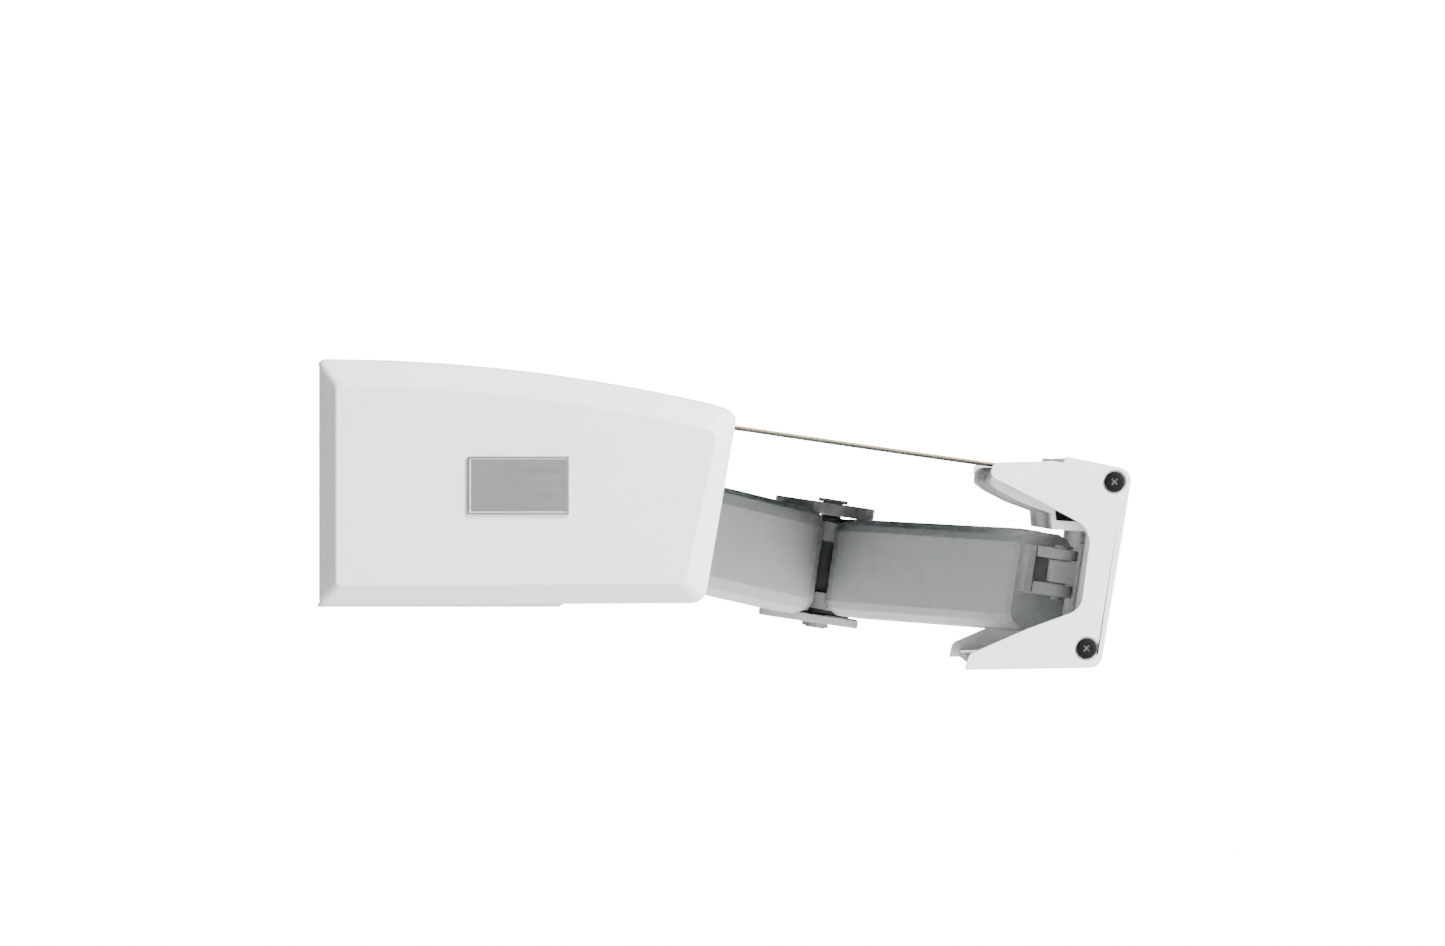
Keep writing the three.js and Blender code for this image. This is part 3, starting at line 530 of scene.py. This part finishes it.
# ---------------------------------------------------------------- sub-assemblies
@dataclass
class Cassette:
    """The wall cassette: profiles, moulded end caps, badge plates, brackets and guide."""

    paint: Paintbox
    edge_mm: float = 1.2
    edge_over_deg: float = 16
    badge_rim_mm: float = 0.7
    badge_sink_mm: float = 0.5
    badge_round_mm: float = 0.5
    badge_over_deg: float = 40
    square_out: float = 0.99
    leans_out: float = 0.1
    rim_area_mm2: float = 100

    def build(self) -> None:
        """Builds and dresses the cassette."""
        for node in ("back_profile", "hood", "fabric_guide"):
            self.paint.dress_node(node, Slot.COAT)
        for name, _ in SIDES:
            self.paint.dress_node(f"side_plate_{name}", Slot.GALVANISED)
            self.end_cap(name)
            self.badge(name)
        for place in ("left", "centre", "right"):
            self.paint.dress_node(f"wall_bracket_{place}", Slot.GALVANISED)
        self.paint.dress_node("cable_gland", Slot.RUBBER)
        self.paint.dress_node("roller_bearing", Slot.CASTING)
        self.paint.dress_node("tubular_motor", Slot.MOTOR)

    def end_cap(self, name: str) -> None:
        """Models one end cap with soft edges.

        Args:
            name: left or right.
        """
        cap = refined(f"end_cap_{name}", self.edge_mm, over=self.edge_over_deg, segments=3)
        self.paint.dress(cap, Slot.CAP)
        settle(cap, f"cassette_end_cap_{name}", "cassette")

    def badge(self, name: str) -> None:
        """Models one blank badge plate with a raised rim.

        Args:
            name: left or right.
        """
        low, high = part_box(f"badge_{name}")
        outward = -1 if name == "left" else 1
        plate = block(low, high)
        apply_bevel(plate, self.badge_round_mm, 2, self.badge_over_deg)
        select_faces(plate, lambda f: f.normal.y * outward > self.square_out)
        bpy.ops.object.mode_set(mode="EDIT")
        bpy.ops.mesh.inset(thickness=self.badge_rim_mm * MM, depth=0)
        bpy.ops.mesh.inset(thickness=self.badge_rim_mm * MM, depth=-self.badge_sink_mm * MM)
        bpy.ops.object.mode_set(mode="OBJECT")
        self.paint.dress(plate, Slot.BADGE)
        plate.data.materials.append(self.paint.by_slot[Slot.CASTING])
        edge = high[1] if outward > 0 else low[1]
        for face in plate.data.polygons:
            sunk = abs(face.center.y - edge) > LEVEL_WITHIN and face.normal.y * outward > self.leans_out
            rim = abs(face.normal.y) < FACES_END or (sunk and face.area < self.rim_area_mm2 * MM * MM)
            face.material_index = 1 if rim else 0
        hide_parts(f"badge_{name}")
        settle(plate, f"badge_plate_{name}", "cassette")


@dataclass
class Roller:
    """Roller tube with the stored fabric and its end fittings."""

    paint: Paintbox

    def build(self) -> None:
        """Dresses the roller."""
        self.paint.dress_node("roller_tube", Slot.GALVANISED)
        self.paint.dress_node("fabric_roll", Slot.CLOTH)
        self.paint.dress_node("idler_plug", Slot.CASTING)
        self.paint.dress_node("drive_crown", Slot.RUBBER)


@dataclass
class FoldingArms:
    """Both pairs of arms, with their castings, pins, springs and chains."""

    paint: Paintbox
    beam_edge_mm: float = 0.3
    beam_over_deg: float = 15
    casting_edge_mm: float = 0.5
    casting_over_deg: float = 18
    # faces of the elbow barrel within this distance of the pin get painted shade
    barrel_shade_radius_mm: float = 20.8
    castings: dict[str, str] = field(default_factory=lambda: {
        "shoulder_bracket": "cassette",
        "shoulder_knuckle": "rear",
        "elbow_fork": "rear",
        "elbow_knuckle": "front",
        "wrist_fork": "front",
        "wrist_bracket": "front_bar",
    })

    def body(self, family: str, side: str) -> str:
        """Name of the body that a family of pieces rides on, on one side."""
        return f"{family}_arm_{side}_body" if family in ("rear", "front") else family

    def shade_barrel(self, knuckle: bpy.types.Object, side: str) -> None:
        """Paints shade on the barrel of an elbow: faces near the pin are coloured near black, a painted shade
        for the dark slit between the castings.

        Args:
            knuckle: The elbow's inner casting.
            side: left or right.
        """
        # the barrel's faces near the pin take the painted shade as a second material
        knuckle.data.materials.append(self.barrel_shade_finish)
        pin = centre_of(f"elbow_pin_{side}")
        for face in knuckle.data.polygons:
            out = face.center - pin
            out -= HINGE_AXIS * out.dot(HINGE_AXIS)
            if out.length < self.barrel_shade_radius_mm * MM:
                face.material_index = 1

    def build(self) -> None:
        """Builds and dresses the arms."""
        # painted shade on the elbow barrel: near black with a dull shine, standing in for the shade in the
        # slit between the castings
        self.barrel_shade_finish = Coating("painted_barrel_shade", "#3b3d3e", "#434546", 0.5, 1.4, 0.03).build()
        for side, _ in SIDES:
            for family in ("rear", "front"):
                beam = refined(f"{family}_arm_{side}", self.beam_edge_mm, over=self.beam_over_deg, segments=1)
                self.paint.dress(beam, Slot.ARM)
                settle(beam, f"{family}_arm_beam_{side}", self.body(family, side), CRISP)
            for kind, family in self.castings.items():
                casting = refined(f"{kind}_{side}", self.casting_edge_mm,
                                  over=self.casting_over_deg, segments=1)
                self.paint.dress(casting, Slot.CASTING)
                # the elbow barrel gets painted shade where its slit lies in shadow
                if kind == "elbow_knuckle":
                    self.shade_barrel(casting, side)
                settle(casting, f"{kind}_casting_{side}", self.body(family, side), CAST_SMOOTH)
            for node in ("shoulder_pin", "elbow_pin", "wrist_pin", "arm_spring"):
                self.paint.dress_node(f"{node}_{side}", Slot.STEEL)
            self.paint.dress_node(f"tension_chain_{side}", Slot.SCREW)


@dataclass
class FrontBar:
    """The front bar with its end caps and their cross-head screws."""

    paint: Paintbox
    edge_mm: float = 0.9
    edge_over_deg: float = 24
    head_mm: float = 1.2
    head_sides: int = 48
    cross_mm: float = 5.0
    cross_turn_deg: float = 45
    cross_margin_mm: float = 0.1
    slot_mm: float = 1.1
    sink_mm: float = 0.9
    bare_from_mm: float = 0.3
    bare_to_mm: float = 1.0
    crown_mm: float = 0.5
    dome: tuple[tuple[float, float], ...] = ((0.2, 0.7), (0.3, 0.3))
    neck: float = 0.6

    def build(self) -> None:
        """Builds and dresses the bar."""
        self.paint.dress_node("front_bar_profile", Slot.COAT)
        self.paint.dress_node("hem_rod", Slot.STEEL)
        for side, sign in SIDES:
            cap = refined(f"bar_cap_{side}", self.edge_mm, over=self.edge_over_deg, segments=2)
            self.paint.dress(cap, Slot.CAP)
            settle(cap, f"front_bar_cap_{side}", "front_bar")
            for end in ("top", "bottom"):
                self.screw(side, sign, end)

    def screw(self, side: str, sign: int, end: str) -> None:
        """Models one domed cross-head screw.

        Args:
            side: left or right.
            sign: -1 on the left, 1 on the right.
            end: top or bottom.
        """
        node = f"cap_screw_{side}_{end}"
        low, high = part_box(node)
        centre = centre_of(node)
        radius = (high[2] - low[2]) / 2
        face_y = low[1] if sign < 0 else high[1]
        depth = high[1] - low[1]
        bpy.ops.object.select_all(action="DESELECT")
        head_y = face_y - sign * self.head_mm / 2 * MM
        bpy.ops.mesh.primitive_cylinder_add(vertices=self.head_sides, radius=radius, depth=self.head_mm * MM,
                                            location=(centre.x, head_y, centre.z),
                                            rotation=(math.pi / 2, 0, 0))
        head = bpy.context.object
        bpy.ops.object.transform_apply(location=True, rotation=True, scale=True)
        select_faces(head, lambda f: f.normal.y * sign > FACES_END)
        bpy.ops.object.mode_set(mode="EDIT")
        for inward, outward in self.dome:
            bpy.ops.mesh.inset(thickness=radius * inward, depth=self.crown_mm * MM * outward)
        bpy.ops.object.mode_set(mode="OBJECT")
        select_faces(head, lambda f: f.normal.y * sign < -FACES_END)
        bpy.ops.object.mode_set(mode="EDIT")
        bpy.ops.mesh.inset(thickness=radius * self.neck, depth=0)
        shank = -sign * (depth - self.head_mm * MM)
        bpy.ops.mesh.extrude_region_move(TRANSFORM_OT_translate={"value": (0, shank, 0)})
        bpy.ops.object.mode_set(mode="OBJECT")
        self.paint.dress(head, Slot.SCREW)
        head.data.materials.append(self.paint.by_slot[Slot.STEEL])
        top = face_y + sign * self.crown_mm * MM
        for long_side, short_side in ((self.cross_mm, self.slot_mm), (self.slot_mm, self.cross_mm)):
            a, b = long_side * MM / 2, short_side * MM / 2
            ends = sorted((top + sign * MM, face_y - sign * self.sink_mm * MM))
            cutter = block((centre.x - a, ends[0], centre.z - b), (centre.x + a, ends[1], centre.z + b))
            turn = Matrix.Rotation(math.radians(self.cross_turn_deg), 4, "Y")
            cutter.data.transform(Matrix.Translation(centre) @ turn @ Matrix.Translation(-centre))
            pick(head)
            cross = head.modifiers.new("cross", "BOOLEAN")
            cross.object = cutter
            cross.operation = "DIFFERENCE"
            bpy.ops.object.modifier_apply(modifier=cross.name)
            bpy.data.objects.remove(cutter)
        reach = self.cross_mm * MM / 2 + self.cross_margin_mm * MM
        for face in head.data.polygons:
            inside = abs(face.center.x - centre.x) < reach and abs(face.center.z - centre.z) < reach
            deep = (face_y - face.center.y) * sign
            sunk = self.bare_from_mm * MM < deep < self.bare_to_mm * MM
            face.material_index = 1 if inside and sunk else 0
        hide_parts(node)
        settle(head, f"cross_screw_{side}_{end}", "front_bar")


@dataclass
class Fabric:
    """The cloth between roller and front bar, with the sleeve on its rod."""

    paint: Paintbox
    thick_mm: float = 1.1
    sag_mm: float = 1.2
    edge_mm: float = 1.2
    sleeve_mm: float = 2.6
    flat_share: float = 0.90
    wrap_deg: float = 290
    rows: int = 60
    columns: int = 90
    sleeve_rows: int = 14

    def route(self) -> list[Vector]:
        """Works out the cloth's path in its side view.

        Returns:
            Points with Y of 0, from the roller to the end of the sleeve.
        """
        low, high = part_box("fabric")
        rod = centre_of("hem_rod")
        start = Vector((low[0] + self.edge_mm * MM, 0, high[2] - self.edge_mm * MM))
        reach = self.sleeve_mm * MM
        rise = (rod - start).dot(HINGE_AXIS) + reach
        run = (rod - start).dot(DOWN_SLOPE)
        flat_until = self.flat_share * run
        points = []
        for i in range(self.rows + 1):
            t = i / self.rows
            lift = max(0.0, (t * run - flat_until) / (run - flat_until))
            sag = -4 * self.sag_mm * MM * t * (1 - t)
            points.append(start + DOWN_SLOPE * (t * run) + HINGE_AXIS * (lift * lift * rise + sag))
        for i in range(1, self.sleeve_rows + 1):
            angle = math.radians(90 - self.wrap_deg * i / self.sleeve_rows)
            points.append(rod + DOWN_SLOPE * (reach * math.cos(angle))
                          + HINGE_AXIS * (reach * math.sin(angle)))
        return [Vector((p.x, 0, p.z)) for p in points]

    def build(self) -> None:
        """Builds the cloth as one sheet."""
        low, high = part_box("fabric")
        route = self.route()
        bpy.ops.object.select_all(action="DESELECT")
        bpy.ops.mesh.primitive_grid_add(x_subdivisions=len(route) - 1, y_subdivisions=self.columns, size=2)
        sheet = bpy.context.object
        for vertex in sheet.data.vertices:
            row = round((vertex.co.x + 1) / 2 * (len(route) - 1))
            across = low[1] + (vertex.co.y + 1) / 2 * (high[1] - low[1])
            vertex.co = Vector((route[row].x, across, route[row].z))
        pick(sheet)
        thickness = sheet.modifiers.new("canvas", "SOLIDIFY")
        thickness.thickness = self.thick_mm * MM
        thickness.offset = 0
        bpy.ops.object.modifier_apply(modifier=thickness.name)
        bpy.ops.object.shade_smooth_by_angle(angle=SMOOTH_UNDER)
        self.paint.dress(sheet, Slot.CLOTH)
        sheet.name = "awning_cloth"
        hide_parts("fabric")
        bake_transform(sheet)


@dataclass
class Studio:
    """Floor, lights, surroundings and the camera square to the left end."""

    width_m: float = 0.867
    centre_x: float = 0.2439
    centre_z: float = 0.006
    lens: float = 1000.0
    sensor_mm: float = 36
    clip_m: tuple[float, float] = (1.0, 100.0)
    aim_at: tuple[float, float, float] = (0.25, 0, -0.02)
    floor_m: float = 12
    floor_drop: float = 0.9
    low_sky: str = "#e9e9e9"
    high_sky: str = "#a6b2b2"
    sky_strength: float = 0.72
    backdrop_strength: float = 16.0

    def build(self) -> None:
        """Builds the camera first, then the stage."""
        self.camera()
        self.surroundings()
        self.floor()
        self.light("key", (2.4, -2.7, 3.0), 550, 1.4)
        self.light("front", (3.0, -3.6, 1.0), 245, 2.0)
        self.light("side", (3.4, -0.8, 0.9), 100, 1.8)
        self.light("rear", (1.0, 3.4, 1.6), 160, 2.4)

    def camera(self) -> None:
        """Sets a very long lens level with the cassette, looking along +Y."""
        data = bpy.data.cameras.new("end_view")
        data.sensor_width = self.sensor_mm
        data.lens = self.lens
        camera = bpy.data.objects.new("end_view", data)
        bpy.context.collection.objects.link(camera)
        near_end = CAD_LOW.y
        distance = self.width_m * self.lens / data.sensor_width
        camera.location = (self.centre_x, near_end - distance, self.centre_z)
        camera.rotation_euler = (math.pi / 2, 0, 0)
        data.clip_start, data.clip_end = self.clip_m
        bpy.context.scene.camera = camera

    def surroundings(self) -> None:
        """Sets an even pale sky."""
        world = bpy.data.worlds.new("studio")
        world.use_nodes = True
        tree = world.node_tree
        tree.nodes.clear()
        place = add_node(tree, "ShaderNodeTexCoord").outputs["Generated"]
        height = add_node(tree, "ShaderNodeSeparateXYZ", {0: place}).outputs["Z"]
        share = add_node(tree, "ShaderNodeMapRange", {"Value": height, "From Min": -1.0})
        lit = add_node(tree, "ShaderNodeBackground",
                       {"Color": tinted(tree, share.outputs[0], self.low_sky, self.high_sky),
                        "Strength": self.sky_strength})
        seen = add_node(tree, "ShaderNodeBackground",
                        {"Color": (1, 1, 1, 1), "Strength": self.backdrop_strength})
        ray = add_node(tree, "ShaderNodeLightPath").outputs["Is Camera Ray"]
        sky = add_node(tree, "ShaderNodeMixShader", {0: ray, 1: lit.outputs[0], 2: seen.outputs[0]})
        add_node(tree, "ShaderNodeOutputWorld", {"Surface": sky.outputs[0]})
        bpy.context.scene.world = world

    def floor(self) -> None:
        """Lays a plain pale floor well under the awning."""
        bpy.ops.object.select_all(action="DESELECT")
        bpy.ops.mesh.primitive_plane_add(size=self.floor_m, location=(0.4, 0, CAD_LOW.z - self.floor_drop))
        floor = bpy.context.object
        floor.name = "floor"
        floor.data.materials.append(Coating("pale_floor_paint", "#eeeeee", "#f1f1f1", 0.8, 3.0, 0.02).build())

    def light(self, name: str, place: tuple[float, float, float], power: float, size: float) -> None:
        """Adds one soft lamp aimed at the awning's middle.

        Args:
            name: The lamp's name.
            place: Its position in metres.
            power: Its power in watts.
            size: Its side in metres.
        """
        data = bpy.data.lights.new(name, "AREA")
        data.energy = power
        data.size = size
        lamp = bpy.data.objects.new(name, data)
        bpy.context.collection.objects.link(lamp)
        lamp.location = place
        aim = Vector(self.aim_at) - Vector(place)
        lamp.rotation_euler = aim.to_track_quat("-Z", "Y").to_euler()


def main() -> None:
    """Builds the studio and every sub-assembly in order."""
    logging.basicConfig(level=logging.INFO, format="%(name)s %(message)s")
    Studio().build()
    paint = Paintbox()
    for assembly in (Cassette(paint), Roller(paint), FoldingArms(paint), FrontBar(paint), Fabric(paint)):
        assembly.build()


if __name__ == "__main__":
    main()
